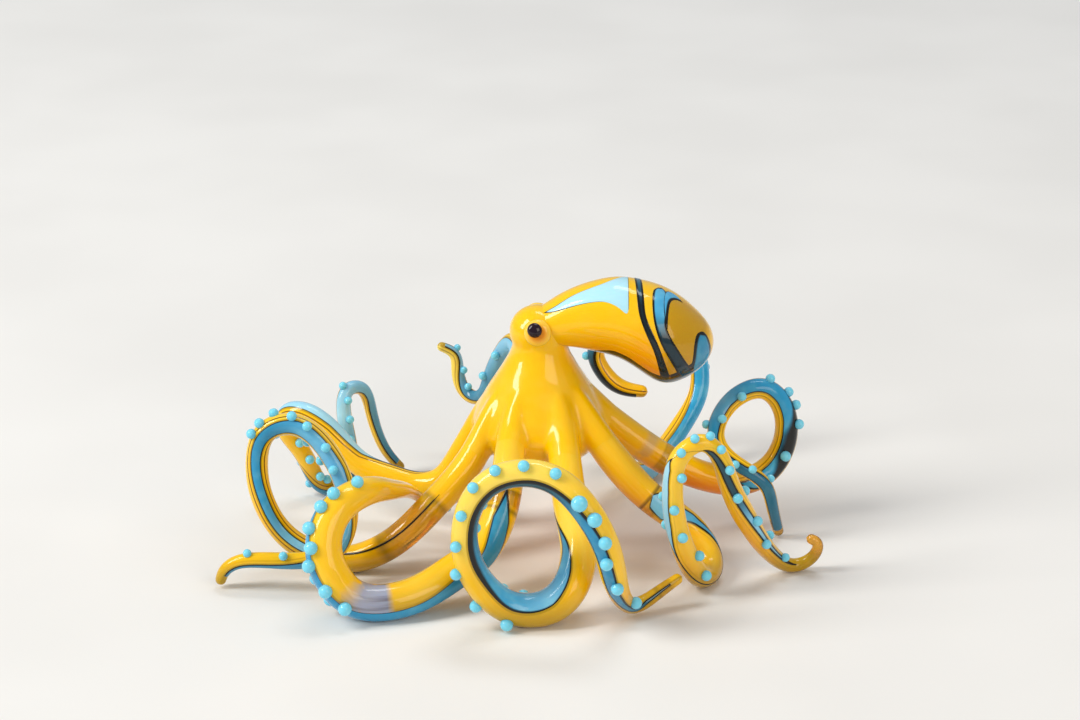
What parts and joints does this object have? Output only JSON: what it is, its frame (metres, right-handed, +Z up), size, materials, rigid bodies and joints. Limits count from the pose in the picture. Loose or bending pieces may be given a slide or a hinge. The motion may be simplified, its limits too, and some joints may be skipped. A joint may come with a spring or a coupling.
{
  "type": "octopus figurine",
  "caption": "Glass octopus figurine with a pear-shaped mantle, dotted arms curled into loops, standing free on its arms.",
  "frame": {"origin": "on the table, under the middle of the figurine's box", "axes": "+X from the face towards the tip of the mantle, +Y away from the side that is seen first, +Z up"},
  "size_m": [0.0991, 0.0796, 0.0457],
  "materials": {
    "amber_glass": "fire-polished opaque golden-yellow glass under a thin amber casing",
    "casing_glass": "fire-polished golden glass under a thick clear amber casing",
    "turquoise_glass": "fire-polished opaque turquoise glass with a dark line at its edges",
    "dot_glass": "fire-polished opaque pale turquoise glass",
    "dark_glass": "fire-polished dark olive glass",
    "pupil_glass": "fire-polished black-violet glass"
  },
  "bodies": {
    "root": {"back_arm_core": "amber_glass", "back_arm_dots": "dot_glass", "back_arm_root": "casing_glass", "back_arm_strip": "turquoise_glass", "back_left_arm_core": "amber_glass", "back_left_arm_dots": "dot_glass", "back_left_arm_root": "casing_glass", "back_left_arm_strip": "turquoise_glass", "back_right_arm_core": "amber_glass", "back_right_arm_dots": "dot_glass", "back_right_arm_root": "casing_glass", "back_right_arm_strip": "turquoise_glass", "belly_patch": "dark_glass", "far_eye_mound": "amber_glass", "far_pupil": "pupil_glass", "first_band": "dark_glass", "front_left_arm_core": "amber_glass", "front_left_arm_dots": "dot_glass", "front_left_arm_root": "casing_glass", "front_left_arm_strip": "turquoise_glass", "front_right_arm_core": "amber_glass", "front_right_arm_dots": "dot_glass", "front_right_arm_root": "casing_glass", "front_right_arm_strip": "turquoise_glass", "head": "amber_glass", "left_arm_core": "amber_glass", "left_arm_dots": "dot_glass", "left_arm_root": "casing_glass", "left_arm_strip": "turquoise_glass", "mantle": "amber_glass", "near_eye_mound": "amber_glass", "near_pupil": "pupil_glass", "right_arm_core": "amber_glass", "right_arm_dots": "dot_glass", "right_arm_root": "casing_glass", "right_arm_strip": "turquoise_glass", "right_front_arm_core": "amber_glass", "right_front_arm_dots": "dot_glass", "right_front_arm_root": "casing_glass", "right_front_arm_strip": "turquoise_glass", "saddle_patch": "turquoise_glass", "second_band": "turquoise_glass", "tip_spot": "turquoise_glass", "trunk": "amber_glass"}
  },
  "joints": []
}
